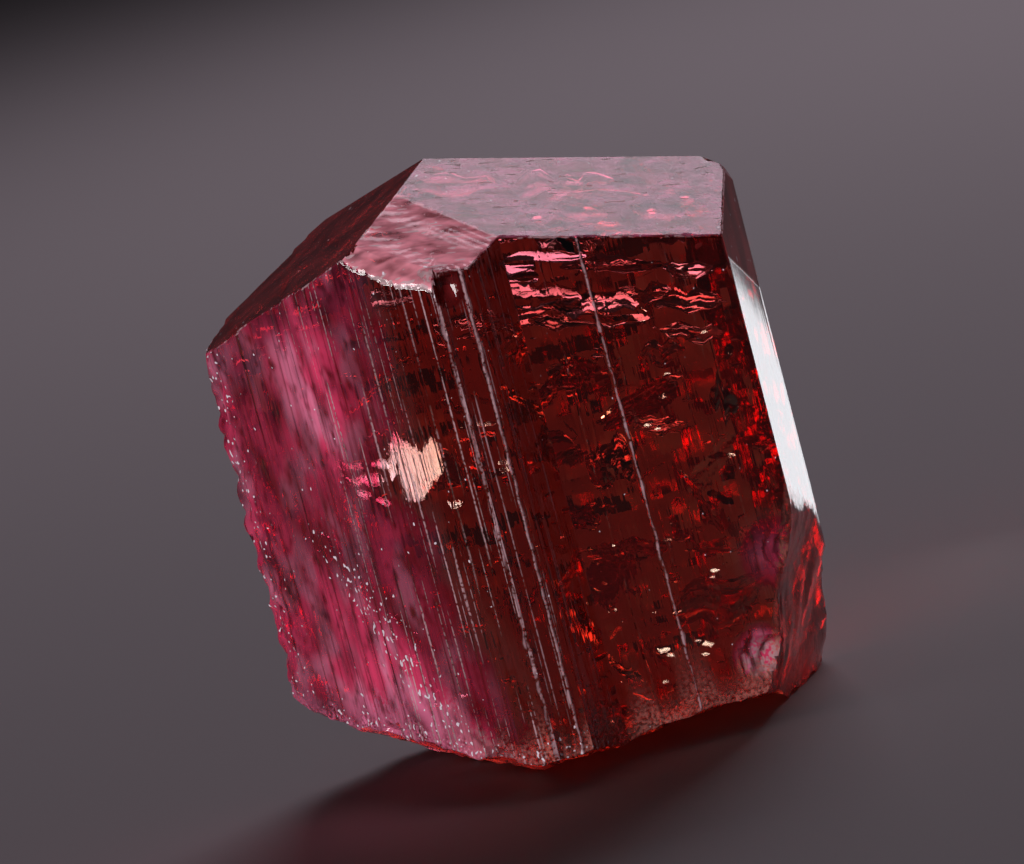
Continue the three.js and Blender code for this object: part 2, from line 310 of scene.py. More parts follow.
def side_scale(z):
    """How far out along its spoke the side lies at height z, as a share of the outline's own reach."""
    near_crest = np.exp(-((outline[:, :1] + 3.8) / 0.5) ** 2) * (outline[:, 1:] < -15)
    crest_dent = 0.2 * np.clip(1.0 - beads(z, 71), 0, 1) * near_crest
    scale = 1 - (grooves(z) + crest_dent - ribs(z)) / reach[:, None]
    x = axis[0] + scale * spoke[:, :1]
    y = axis[1] + scale * spoke[:, 1:]
    spot = np.stack([x, y, z], -1)
    # Small bites along the left end
    nibble = np.clip(wander(spot, 1.5, 33) - 0.35, 0, 1) * fall(x, -20.6, -22.2)
    scale = scale - 1.0 * nibble / reach[:, None]
    # The back grew against its neighbours, which left it uneven
    pressed = np.maximum(0, 0.3 + 0.42 * wander(spot, 3.4, 34) + 0.2 * wander(spot, 1.8, 35))
    scale = scale - fall(outline[:, 1:], 1, 6) * pressed / reach[:, None]
    shells = 0.25 * np.sin(0.75 * np.linalg.norm(spot - [26, -14, 22], axis=-1) + 0.6 * wander(spot, 7, 31))
    ripple = shells + 0.12 * wander(spot, 1.6, 32) - 0.3
    for face, point, rough in ((BREAK_FACE, BREAK_PLACE, ripple), (TAPER_FACE, TAPER_PLACE, 0)):
        room = face @ point + rough - face[2] * z - face[:2] @ axis
        run = spoke @ face[:2]
        scale = np.where(run[:, None] > 1e-6, np.minimum(scale, room / np.maximum(run, 1e-6)[:, None]), scale)
    for cx, cy, cz, rx, ry, rz in CHIPS:
        lump = 1 + 0.12 * wander(spot, 1.1, 41)
        a = ((spoke[:, 0] / rx) ** 2 + (spoke[:, 1] / ry) ** 2)[:, None]
        b = (spoke[:, 0] * (axis[0] - cx) / rx ** 2 + spoke[:, 1] * (axis[1] - cy) / ry ** 2)[:, None]
        c = ((axis[0] - cx) / rx) ** 2 + ((axis[1] - cy) / ry) ** 2 + ((z - cz) / rz) ** 2 - lump ** 2
        inside = b * b - a * c
        root = np.sqrt(np.maximum(inside, 0))
        near, far = (-b - root) / a, (-b + root) / a
        scale = np.where((inside > 0) & (scale > near) & (scale < far + 0.2), near, scale)
    return scale


def side_place(z):
    """x and y of the side at height z in every column."""
    scale = side_scale(z)
    return axis[0] + scale * spoke[:, :1], axis[1] + scale * spoke[:, 1:]


# The rims, found by walking each column up and down until it meets the top and the break
top_rim = np.full((columns, 1), 40.0)
low_rim = np.full((columns, 1), 3.0)
for _ in range(8):
    top_rim = pyramid_height(*side_place(top_rim))
    low_rim = 0.5 * low_rim + 0.5 * break_height(*side_place(low_rim))
worn_width = np.clip(0.16 + 0.12 * wander(outline, 2.0, 51)[:, None], 0.06, 0.4)


def rounding(distance, width):
    """How much a worn edge is lowered at a distance from it: a parabola that ends at the worn width."""
    return 0.5 * width * np.maximum(0, 1 - distance / width) ** 2


middle = np.linspace(0, 1, MIDDLE_ROWS + 2)[None, 1:-1]
lowest, highest = low_rim + EDGE_ROWS[-1], top_rim - EDGE_ROWS[-1]
z = np.hstack([low_rim + EDGE_ROWS, lowest + middle * (highest - lowest), top_rim - EDGE_ROWS[::-1]])
below_top = top_rim - z
above_low = z - low_rim
inward = rounding(below_top, worn_width) + 0.5 * rounding(above_low, worn_width)
scale = side_scale(z) - inward / reach[:, None]
z[:, -1:] -= rounding(0, worn_width)
side_x = axis[0] + scale * spoke[:, :1]
side_y = axis[1] + scale * spoke[:, 1:]
side_points = np.stack([side_x, side_y, z], -1)
rows = z.shape[1]

# How far in from the rim the close rings of a cap stand
RIM_INSETS = np.array([0.08, 0.18, 0.32])


def inner_rings(rim, width, insets, height, worn):
    """Rings drawn in from the rim towards the axis by the insets, at height(x, y) less the worn edge."""
    out = rim[:, :2] - axis
    size = np.hypot(*out.T)[:, None]
    shrink = 1 - insets / size
    x = axis[0] + shrink * out[:, :1]
    y = axis[1] + shrink * out[:, 1:]
    return np.stack([x, y, height(x, y) - worn * rounding(insets + 0 * x, width)], -1)


def cap(rim, height, ring_count, worn):
    """A cap in two parts: three close rings of all the columns, then rings of every second column that
    close on the axis, spread evenly over what is left of each spoke."""
    outer = inner_rings(rim, worn_width, RIM_INSETS, height, worn)
    half_rim = rim[::2]
    size = np.hypot(*(half_rim[:, :2] - axis).T)[:, None]
    share = np.arange(1, ring_count + 1)[None] / (ring_count + 1)
    insets = RIM_INSETS[-1] + share * (size - RIM_INSETS[-1])
    inner = inner_rings(half_rim, worn_width[::2], insets, height, worn)
    return outer, inner


def strip_faces(index):
    """Quads between neighbouring columns and rows of a grid of vertex numbers that closes on itself."""
    near, far = index, np.roll(index, -1, axis=0)
    return np.stack([near[:, :-1], far[:, :-1], far[:, 1:], near[:, 1:]], -1).reshape(-1, 4)


def halving_faces(full, half):
    """Triangles between a ring of all the columns and the ring of every second column above it."""
    even, odd = full[::2], full[1::2]
    next_even, next_half = np.roll(even, -1), np.roll(half, -1)
    return np.vstack([
        np.stack([even, odd, half], -1),
        np.stack([odd, next_half, half], -1),
        np.stack([odd, next_even, next_half], -1),
    ])


def fan_faces(last, pole):
    """Triangles from the last ring to the pole."""
    return np.stack([last, np.roll(last, -1), np.full(len(last), pole)], -1)


top_outer, top_inner = cap(side_points[:, -1], pyramid_height, 40, 1)
low_outer, low_inner = cap(side_points[:, 0], break_height, 12, 0)
wall = np.concatenate([low_outer[:, ::-1], side_points, top_outer], axis=1)
wall_index = np.arange(wall[..., 0].size).reshape(wall.shape[:2])
top_index = wall_index.size + np.arange(top_inner[..., 0].size).reshape(top_inner.shape[:2])
low_index = wall_index.size + top_index.size + np.arange(low_inner[..., 0].size).reshape(low_inner.shape[:2])
pole_top = wall_index.size + top_index.size + low_index.size
pole_low = pole_top + 1
poles = np.array([[*axis, pyramid_height(*axis)], [*axis, break_height(*axis)]])
vertices = [wall.reshape(-1, 3), top_inner.reshape(-1, 3), low_inner.reshape(-1, 3), poles]
quads = [strip_faces(wall_index), strip_faces(top_index), strip_faces(low_index)[:, ::-1]]
triangles = [
    halving_faces(wall_index[:, -1], top_index[:, 0]),
    halving_faces(wall_index[:, 0], low_index[:, 0])[:, ::-1],
    fan_faces(top_index[:, -1], pole_top),
    fan_faces(low_index[:, -1], pole_low)[:, ::-1],
]

# How each spot of the outer skin looks. Wear is the pale frosting of edges and raised lines, and it also
# holds pale lines along the groove tips, which are painted highlights; milk the cloudy pink of the left
# side, rough the broken surface, lines where the striation runs, crown the front faces of the pyramid,
# where painted pink reflections show, dull the etched back. The painted dark red is painted shade on the
# blunt corner, what lies under it and the pit, and on the left face of the pyramid it stands for red light
# from inside. The painted glints are white specks that stand for tiny bright facets catching the light.
LOOKS = ("wear", "milk", "rough", "lines", "crown", "dull", "painted_dark_red", "painted_glints")
WEAR_AND_HIGHLIGHTS, MILK, ROUGH, LINES, CROWN, DULL, PAINTED_DARK_RED, PAINTED_GLINTS = range(len(LOOKS))
looks = np.zeros((*wall.shape[:2], len(LOOKS)))
body = slice(len(RIM_INSETS), len(RIM_INSETS) + rows)
spots = side_points
ragged = np.clip(0.3 + 0.5 * wander(spots, 3.0, 61) + 0.7 * wander(spots, 0.55, 62), 0, 1)
edge_wear = 0.8 * np.exp(-(below_top / 0.13) ** 2) * ragged
crest_place = -3.75 + 0.10 * wander(z[..., None], 2.5, 66)
crest_width = 0.10 + 0.08 * beads(z, 71)
crest = np.exp(-((side_x - crest_place) / crest_width) ** 2) * (side_y < -14) * np.clip(beads(z, 71), 0.4, 1)
line_wear = np.clip(ribs(z) * 9 - 0.12, 0, 0.8)
fleck = np.clip(0.5 + 1.3 * wander(np.stack([travel[:, None] * 3 + 0 * z, z * 0.16], -1), 2.0, 65), 0, 1)
sharp = fall(side_x, -16, -13) * (side_x < 2) * (side_y < 6)
# Pale lines along the groove tips: painted highlights of the striation edges, carried in the wear look
tips = np.exp(-(from_tip(travel, 1.3, 1)[:, None] / 0.065) ** 2) * fleck * (0.2 + 0.8 * sharp)
fine_tips = 0.5 * np.exp(-(from_tip(travel, 0.5, 2)[:, None] / 0.04) ** 2) * fleck ** 3 * sharp
worn_patch = 0.6 * blot(spots, [-3.4, -14.6, 41.7], 0.9)
# The pit is painted dark red: painted shade in its hollow
pit = blot(spots, [-2.7, -15.2, 40.7], 1.1, 4)
# The upper end of the right face, above the bright band that it mirrors, is rough and painted dark red as
# painted shade
slant = z - 35.1 + 0.396 * (side_y + 8.6)
looks[:, body, PAINTED_DARK_RED] = np.maximum(0.65 * pit, (side == 0)[:, None] * fall(slant, -0.6, 1.0))
right_chip = blot(spots, [14.1, -11.0, 5.4], 2.1, 8)
left_chip = 0.7 * blot(spots, [-9.8, -11.5, 4.5], 2.6, 4)
frosted_chip = np.maximum(right_chip, left_chip)
pink_patch = 0.5 * blot(spots, [17.2, -11.2, 13.1], 1.8)
# Wear of edges, crest, raised lines and chips, together with the painted highlights along the groove tips
wear = np.max([
    edge_wear, crest, line_wear, 0.75 * tips, fine_tips, worn_patch, 0.22 * frosted_chip,
], axis=0)
looks[:, body, WEAR_AND_HIGHLIGHTS] = np.clip(wear * (1 - pit), 0, 1)
broken = side_points @ BREAK_FACE > BREAK_FACE @ BREAK_PLACE - 0.75
low_band = 1.0 + 2.0 * np.clip(0.5 + wander(outline, 3.0, 64)[:, None], 0, 1)
looks[:, body, ROUGH] = np.maximum(0.3 * broken, np.exp(-(above_low / low_band) ** 2))
looks[:, :3, ROUGH] = 1
upper_cloud = np.exp(-((side_x + 14.6) / 3.0) ** 2 - ((z - 34) / 8.0) ** 2)
lower_cloud = np.exp(-((side_x + 16.0 - 0.3 * (14 - z)) / 5.0) ** 2 - ((z - 10) / 9.0) ** 2)
end_cloud = 0.6 * np.exp(-((side_x + 21.8) / 1.6) ** 2)
haze = 0.28 * fall(side_x, -7, -12)
cloud = np.max([upper_cloud, lower_cloud, end_cloud + 0 * z, haze], axis=0)
# The bright crack at the left shows through a clear spot.
cloud = cloud * (1 - blot(spots * [1, 1, 1.2], [-9.6, -11.8, 32.4], 4.2, 4))
cloud = cloud * np.clip(0.85 + 0.6 * wander(spots * [1, 1, 0.5], 2.2, 63), 0, 1.1) * (side_y < 9)
looks[:, body, MILK] = np.max([cloud, 0.9 * frosted_chip, pink_patch], axis=0)
# The front border of the lower cloud starts here and slants down to the right. Painted glints, white
# specks that stand for tiny facets catching the light, lie along it, and on the lowest band and the
# left end.
BORDER_TOP_X, BORDER_TOP_Z = -17.2, 23.3
cloud_border = BORDER_TOP_X + 0.377 * (BORDER_TOP_Z - z)
painted_glints = np.exp(-((side_x - cloud_border) / 1.5) ** 2) * fall(z, 25, 21) * (side_y < 3)
low_painted_glints = 0.9 * np.exp(-(above_low / 1.8) ** 2) * fall(side_x, 14, -4) * (side_y < 3)
end_painted_glints = 0.7 * np.exp(-((side_x + 21.8) / 1.3) ** 2) * (side_y < 9)
looks[:, body, PAINTED_GLINTS] = np.max([painted_glints, low_painted_glints, end_painted_glints + 0 * z], axis=0)
right_face = (side == 0)[:, None]
looks[:, :, LINES] = 1 - 0.85 * right_face
looks[:, body, DULL] = fall(side_y, 5, 9) * np.clip(0.5 + 0.9 * wander(spots, 5.0, 67), 0, 1)


def crown_looks(points, from_rim):
    """Looks of the top, face by face, with a band of wear along every rim."""
    values = np.zeros((*points.shape[:2], len(LOOKS)))
    face = pyramid_faces(points[..., 0], points[..., 1]).argmin(axis=0)
    patch = blot(points, [-3.4, -14.2, 41.9], 1.2)
    ragged = np.clip(0.3 + 0.5 * wander(points, 3.0, 61) + 0.7 * wander(points, 0.55, 62), 0, 1)
    band = 0.8 * np.exp(-(from_rim / 0.13) ** 2) * ragged
    values[..., WEAR_AND_HIGHLIGHTS] = np.max([0.7 * patch * (face == WORN_FACE), band], axis=0)
    # The blunt corner is rough and painted dark red as painted shade. The left face of the pyramid is painted
    # dark red that stands for red light from inside it.
    corner = (face == CORNER_FACE) | (face == LOW_CORNER_FACE)
    painted_dark_red = np.maximum(0.6 * (face == LEFT_FACE), corner)
    # How strongly the painted pink reflections show on each top face: more on the spoilt and worn faces, none
    # where the skin is painted dark red
    values[..., CROWN] = (1 + 1.2 * ((face == SPOILT_FACE) | (face == WORN_FACE))) * (painted_dark_red == 0)
    values[..., PAINTED_DARK_RED] = painted_dark_red
    return values


looks[:, -3:] = crown_looks(wall[:, -3:], RIM_INSETS + 0 * wall[:, -3:, 0])
inner_from_rim = np.linalg.norm(top_inner - side_points[::2, -1:], axis=-1)
top_looks = crown_looks(top_inner, inner_from_rim).reshape(-1, len(LOOKS))
low_looks = np.zeros((low_inner[..., 0].size, len(LOOKS)))
low_looks[:, ROUGH] = 1
pole_looks = np.zeros((2, len(LOOKS)))
pole_looks[0, CROWN] = pole_looks[1, ROUGH] = 1
looks = np.vstack([looks.reshape(-1, len(LOOKS)), top_looks, low_looks, pole_looks])

# Cracks inside. Each is a thin gap with an uneven outline that healed only in part: a lens that is
# rippled across its length. Its faces look into the gap, so light passes it as it passes a real one.
def crack(centre, turn, slope, length, width, gap, ripple, pitch, seed, stations, loop):
    """Points of one gap: stations along its length, a flat closed loop round each, and its two ends."""
    draw = np.random.default_rng(seed)
    normal = direction(turn, slope)
    along = np.array([0.968, 0.0, -0.251])
    along = along - (along @ normal) * normal
    along /= np.linalg.norm(along)
    across = np.cross(normal, along)
    u = -np.cos(np.pi * (np.arange(stations) + 0.6) / (stations + 0.2))[:, None]
    angle = 2 * np.pi * np.arange(loop)[None] / loop
    taper = np.sqrt(1 - u ** 2)
    high = taper * draw.uniform(0.55, 1.1, (stations, 1))
    low = taper * draw.uniform(0.55, 1.1, (stations, 1))
    middle_line = 0.25 * draw.normal(size=(stations, 1)) * taper
    v = width * (middle_line + np.where(np.cos(angle) > 0, high, low) * np.cos(angle))
    phase = draw.uniform(0, 2 * np.pi, 3)
    wave = np.sin(2 * np.pi * v / pitch + phase[0] + 0.9 * np.sin(2.2 * u + phase[1]))
    wave = wave + 0.5 * np.sin(2 * np.pi * v / (0.43 * pitch) + phase[2] - 1.3 * u)
    bow = 0.02 * length * np.sin(2.5 * u + phase[1])
    w = ripple * wave + bow + 0.5 * gap * taper * np.sin(angle)
    x = length * u + 0 * v
    points = np.array(centre) + x[..., None] * along + v[..., None] * across + w[..., None] * normal
    ends = points[[0, -1]].mean(axis=1) + [-0.02 * length * along, 0.02 * length * along]
    return points, ends


# Place, which way it faces (turn, slope), half length, half width, gap, ripple and its pitch
CRACKS = [
    (2.6, -8.9, 40.2, -74, 40, 2.0, 0.8, 0.06, 0.008, 1.4),
    (5.6, -8.4, 40.2, -75, 40, 3.2, 0.8, 0.06, 0.012, 1.6),
    (3.6, -7.9, 37.8, -74, 40, 2.2, 1.3, 0.06, 0.010, 2.2),
    (6.8, -8.4, 36.2, -74, 40, 3.2, 1.4, 0.06, 0.010, 2.4),
    (7.6, -8.9, 34.6, -74, 40, 4.8, 1.2, 0.06, 0.012, 2.2),
    (5.2, -6.2, 35.4, -76, 39, 4.2, 1.6, 0.12, 0.024, 2.4),
    (3.0, -8.7, 39.3, -74, 40, 1.8, 1.2, 0.05, 0.006, 2.0),
    (4.8, -8.7, 37.0, -74, 40, 2.8, 1.5, 0.05, 0.007, 2.6),
    (8.8, -8.7, 35.5, -74, 40, 3.0, 1.3, 0.05, 0.007, 2.4),
    (12.4, -7.0, 35.4, -74, 30, 2.2, 1.5, 0.10, 0.06, 1.3),
    (16.2, -7.4, 36.4, -60, 30, 2.0, 1.4, 0.10, 0.07, 1.2),
    (15.6, -5.6, 33.6, -72, 38, 2.8, 1.6, 0.10, 0.06, 1.5),
    (-1.2, -9.6, 36.8, -66, 44, 2.2, 0.8, 0.08, 0.05, 0.9),
    (-0.6, -8.8, 35.6, -78, 46, 2.6, 0.5, 0.06, 0.05, 0.7),
    (12.6, -8.2, 30.6, -90, 52, 1.8, 1.3, 0.10, 0.05, 1.4),
    (15.2, -8.0, 31.5, -66, 42, 2.6, 1.2, 0.10, 0.06, 1.4),
    (1.3, -6.0, 25.4, -84, 41, 3.0, 2.6, 0.10, 0.03, 3.0),
    (6.6, -6.2, 23.0, -80, 41, 2.0, 2.8, 0.10, 0.03, 2.6),
    (11.0, -8.4, 25.2, -70, 44, 2.2, 1.2, 0.10, 0.06, 1.3),
    (16.3, -8.2, 25.5, -60, 60, 1.2, 2.2, 0.08, 0.05, 1.4),
    (16.4, -9.2, 13.6, -82, 42, 1.8, 1.8, 0.10, 0.03, 1.6),
    (1.4, -9.4, 3.9, -88, 36, 2.0, 1.0, 0.08, 0.03, 0.9),
    (-8.2, -11.1, 27.2, -120.0, 79.4, 2.4, 2.9, 0.10, 0.012, 2.8),
    (-12.2, -6.8, 27.6, -131, 75, 2.8, 1.2, 0.10, 0.035, 1.3),
    (-9.6, -9.0, 29.4, -124, 70, 2.2, 1.2, 0.10, 0.04, 1.2),
    (-5.8, -11.6, 26.4, -96, 44, 1.5, 2.1, 0.10, 0.03, 1.8),
    (-6.6, -11.6, 40.4, -92, 42, 1.8, 1.5, 0.10, 0.05, 1.4),
    (-10.2, -8.6, 38.7, -96, 42, 2.0, 1.4, 0.10, 0.05, 1.4),
    (-13.6, -2.6, 38.6, -134, 44, 3.2, 1.8, 0.10, 0.06, 1.4),
    (-9.0, -3.0, 41.0, -135, 45, 3.8, 2.0, 0.10, 0.06, 1.6),
    (-5.6, 1.4, 43.0, -132, 45, 3.0, 2.0, 0.10, 0.06, 1.5),
    (-17.2, 4.6, 36.6, -136, 44, 2.6, 1.6, 0.10, 0.06, 1.3),
    (-12.8, 4.4, 39.0, -134, 46, 3.4, 2.2, 0.10, 0.07, 1.7),
]
scatter = np.random.default_rng(7)
# More of them under the bright top face, lying nearly along it
CRACKS_UNDER_TOP = 14
for _ in range(CRACKS_UNDER_TOP):
    x, y = scatter.uniform(0, 17), scatter.uniform(-8, -1)
    down = scatter.uniform(1.4, 5.0)
    CRACKS.append((
        x, y, float(pyramid_height(x, y)) - down,
        -60 + scatter.normal(0, 9), 27 + scatter.normal(0, 5),
        scatter.uniform(2.0, 4.4), scatter.uniform(1.2, 2.8), 0.1,
        scatter.uniform(0.01, 0.03), scatter.uniform(1.8, 3.0),
    ))
# And some deep in the body, at all angles, but in its front half none that would mirror the sky
DEEP_CRACKS = 36
for _ in range(DEEP_CRACKS):
    middle_point = scatter.uniform((-12, -8, 5), (15, 7, 34))
    way = scatter.uniform((-180, 15), (180, 75))
    long, wide, ripple, pitch = scatter.uniform((1.6, 1.0, 0.04, 1.2), (5.0, 3.4, 0.14, 3.0))
    normal = direction(*way)
    mirrored = np.array([0, 1, 0]) - 2 * normal[1] * normal
    if mirrored[2] < 0.3 or middle_point[1] > 0:
        CRACKS.append((*middle_point, *way, long, wide, 0.1, ripple, pitch))

# Small bright flakes just under the skin: place and size. All face one of two ways that glint.
FLAKES = (
    (-2.9, -14.4, 29.5, 0.30), (-2.1, -14.3, 29.4, 0.28), (-1.9, -14.0, 26.2, 0.36),
    (-2.0, -13.9, 25.6, 0.34), (-6.2, -13.9, 24.1, 0.45), (9.9, -10.7, 25.5, 0.22),
    (10.6, -10.7, 25.0, 0.18), (10.2, -10.6, 7.4, 0.30), (9.8, -10.7, 6.7, 0.22),
    (9.5, -10.7, 7.9, 0.18), (6.7, -10.7, 7.9, 0.34), (7.1, -10.6, 7.3, 0.22),
    (6.2, -10.8, 5.4, 0.20), (12.2, -10.7, 13.0, 0.24), (11.8, -10.7, 12.5, 0.15),
    (-12.1, -8.7, 11.7, 0.30), (-16.5, -1.0, 22.3, 0.34), (-15.9, -1.6, 22.0, 0.20),
    (0.4, -10.5, 3.4, 0.24), (-3.4, -14.3, 3.4, 0.20), (-11.7, -9.0, 26.6, 0.75),
    (-10.9, -9.9, 27.9, 0.6), (-12.7, -7.8, 25.7, 0.55), (-11.3, -9.4, 25.0, 0.5),
    (16.0, -10.7, 31.4, 0.20), (12.4, -10.6, 29.0, 0.18), (5.0, -10.6, 17.0, 0.14),
    (-9.3, -11.4, 8.8, 0.28),
)
FLAKE_FACES_FRONT = (-103.1, 79.4)
FLAKE_FACES_LEFT = (-120.0, 79.4)
# Every gap with the number of its stations and of the points round each
gaps = [(values, 9, 26) for values in CRACKS]
for x, y, z_middle, size in FLAKES:
    way = FLAKE_FACES_FRONT if x > -3.5 else FLAKE_FACES_LEFT
    gaps.append(((x, y, z_middle, *way, 1.7 * size, 0.9 * size, 0.06, 0.003, 0.8), 4, 10))

# Sparkles: the same flakes, small and many, along the front border of the lower cloud
SPARKLES = 70
left_front = np.flatnonzero((outline[:, 0] < -5) & (outline[:, 1] < 3))
down = scatter.uniform(0, 1, SPARKLES) ** 0.8
wanted = BORDER_TOP_X + 6.6 * down + scatter.normal(0, 1.1, SPARKLES)
up = BORDER_TOP_Z - 17.5 * down + scatter.normal(0, 1.2, SPARKLES)
pick = left_front[np.searchsorted(outline[left_front, 0], np.clip(wanted, -20.5, -5.5))]
under_skin = axis + spoke[pick] * (1 - scatter.uniform(0.45, 0.8, SPARKLES) / reach[pick])[:, None]
for x, y, z_middle in zip(*under_skin.T, up):
    size = scatter.uniform(0.08, 0.26)
    way = FLAKE_FACES_LEFT + scatter.normal(0, 4, 2)
    gaps.append(((x, y, z_middle, *way, size, 0.7 * size, 0.05, 0.003, 0.8), 4, 8))

# Fine flaws all through the body, thickest near the front: small gaps, a third of them in the common
# direction of the large cracks, a tenth of them facing like the flakes, the rest at all angles
FLAWS = 300
tries = scatter.uniform((-13, 0, 2.5), (19, 1, 38), (4 * FLAWS, 3))
tries[:, 1] = -10.4 + 15 * tries[:, 1] ** 2
within = (tries[:, :2] - [-9.3, -12.2]) @ [-0.68, -0.73] < -1.3
within &= (tries[:, :2] - FRONT_RIGHT_EDGE) @ [0.970, -0.242] < -1.3
within &= (tries - BREAK_PLACE) @ BREAK_FACE < -2.2
flaw_places = tries[within][:FLAWS]
turns = scatter.uniform(-180, 180, FLAWS)
slopes = scatter.uniform(10, 80, FLAWS)
lot = scatter.uniform(0, 1, FLAWS)
like_cracks, like_flakes = lot < 0.33, lot > 0.9
turns = np.where(like_cracks, scatter.normal(-74, 9, FLAWS), turns)
slopes = np.where(like_cracks, scatter.normal(40, 7, FLAWS), slopes)
turns = np.where(like_flakes, scatter.normal(FLAKE_FACES_FRONT[0], 3, FLAWS), turns)
slopes = np.where(like_flakes, scatter.normal(FLAKE_FACES_FRONT[1], 3, FLAWS), slopes)
half_lengths = np.clip(np.exp(scatter.normal(np.log(0.5), 0.5, FLAWS)), 0.15, 1.3)
half_lengths = half_lengths * np.where(like_flakes, 0.4, 1)
for middle_point, *way, size in zip(flaw_places, turns, slopes, half_lengths):
    gaps.append(((*middle_point, *way, size, 0.6 * size, 0.05, 0.03 * size, 1.6 * size), 4, 8))

inside_from = base = pole_low + 1
for seed, ((x, y, z_middle, *rest), stations, loop) in enumerate(gaps):
    points, ends = crack((x, y, z_middle), *rest, 200 + seed, stations, loop)
    number = base + np.arange(stations * loop).reshape(stations, loop)
    vertices += [points.reshape(-1, 3), ends]
    quads.append(strip_faces(number.T)[:, ::-1])
    triangles += [
        fan_faces(number[0], base + number.size),
        fan_faces(number[-1], base + number.size + 1)[:, ::-1],
    ]
    base += number.size + 2

# Veils: sheets of tiny bubbles, flattened along the sheet, left where old cracks healed
OCTAHEDRON = np.array([[1, 0, 0], [-1, 0, 0], [0, 1, 0], [0, -1, 0], [0, 0, 1], [0, 0, -1]], float)
OCTAHEDRON_FACES = np.array([
    [0, 2, 4], [2, 1, 4], [1, 3, 4], [3, 0, 4], [2, 0, 5], [1, 2, 5], [3, 1, 5], [0, 3, 5],
])[:, ::-1]
# Place, which way the sheet faces, half size along and across, how many bubbles
VEILS = (
    (9.9, -10.2, 25.4, -95, 80, 1.2, 1.2, 40),
    (9.0, -9.0, 7.4, -80, 70, 3.4, 1.6, 50),
    (12.4, -9.8, 13.0, -100, 75, 1.0, 0.9, 20),
    (4.0, -8.0, 31.0, -85, 60, 5.0, 3.0, 60),
    (13.0, -7.0, 20.0, -70, 65, 4.0, 5.0, 80),
    (2.0, -9.0, 14.0, -95, 70, 5.0, 4.0, 60),
    (-10.0, -8.0, 12.0, -130, 80, 2.6, 4.0, 60),
    (-6.0, -11.5, 33.0, -115, 80, 3.0, 4.0, 60),
    (8.0, -4.0, 41.5, -60, 27, 6.0, 3.0, 80),
)
bubbles, bubble_sizes, bubble_frames = [], [], []
for x, y, z_middle, facing, slope, long, wide, count in VEILS:
    normal = direction(facing, slope)
    along = np.cross([0, 0, 1], normal)
    along /= np.linalg.norm(along)
    across = np.cross(normal, along)
    u, v = scatter.uniform(-1, 1, (2, count))
    lift = 0.3 * np.sin(2 * u + 3 * v) + scatter.normal(0, 0.06, count)
    sheet = [x, y, z_middle] + long * u[:, None] * along + wide * v[:, None] * across
    bubbles.append(sheet + lift[:, None] * normal)
    size = np.exp(scatter.normal(np.log(0.06), 0.45, (count, 1))) * [1.0, 0.7, 0.35]
    bubble_sizes.append(np.clip(size, 0.015, 0.2))
    bubble_frames.append(np.broadcast_to(np.stack([along, across, normal]), (count, 3, 3)))
bubbles = np.concatenate(bubbles)
bubble_sizes, bubble_frames = np.concatenate(bubble_sizes), np.concatenate(bubble_frames)
shells = np.einsum("oi,ni,nij->noj", OCTAHEDRON, bubble_sizes, bubble_frames) + bubbles[:, None]
vertices.append(shells.reshape(-1, 3))
triangles.append((base + 6 * np.arange(len(bubbles))[:, None, None] + OCTAHEDRON_FACES).reshape(-1, 3))
base += 6 * len(bubbles)

# Growth tubes: hair-thin hollow needles that run up the crystal just under its left front
TUBES = 46
TUBE_SIDES = 5
pick = scatter.choice(np.flatnonzero((outline[:, 0] < -1) & (outline[:, 1] < 3)), TUBES)
depth = scatter.uniform(0.5, 3.0, TUBES)
foot = axis + spoke[pick] * (1 - depth / reach[pick])[:, None]
start = scatter.uniform(9, 34, TUBES)
stop = np.minimum(start + scatter.uniform(1.5, 11, TUBES), top_rim[pick, 0] - 1.5)
thick = scatter.uniform(0.015, 0.045, TUBES)
angle = 2 * np.pi * np.arange(TUBE_SIDES) / TUBE_SIDES
rings = np.stack([np.cos(angle), np.sin(angle)], -1) * thick[:, None, None] + foot[:, None]
height = np.stack([start, stop], -1)
tubes = np.concatenate([
    np.broadcast_to(rings[:, None], (TUBES, 2, TUBE_SIDES, 2)),
    np.broadcast_to(height[:, :, None, None], (TUBES, 2, TUBE_SIDES, 1)),
], axis=-1)
tube_ends = np.concatenate([
    np.broadcast_to(foot[:, None], (TUBES, 2, 2)),
    (height + [-0.3, 0.3])[..., None],
], axis=-1)
vertices += [tubes.reshape(-1, 3), tube_ends.reshape(-1, 3)]
number = base + np.arange(TUBES * 2 * TUBE_SIDES).reshape(TUBES, 2, TUBE_SIDES)
low_ring, high_ring = number[:, 0], number[:, 1]
next_low, next_high = np.roll(low_ring, -1, 1), np.roll(high_ring, -1, 1)
end_number = base + TUBES * 2 * TUBE_SIDES + np.arange(TUBES * 2).reshape(TUBES, 2)
low_end = np.broadcast_to(end_number[:, :1], low_ring.shape)
high_end = np.broadcast_to(end_number[:, 1:], high_ring.shape)
quads.append(np.stack([low_ring, high_ring, next_high, next_low], -1).reshape(-1, 4))
triangles += [
    np.stack([low_ring, next_low, low_end], -1).reshape(-1, 3),
    np.stack([next_high, high_ring, high_end], -1).reshape(-1, 3),
]

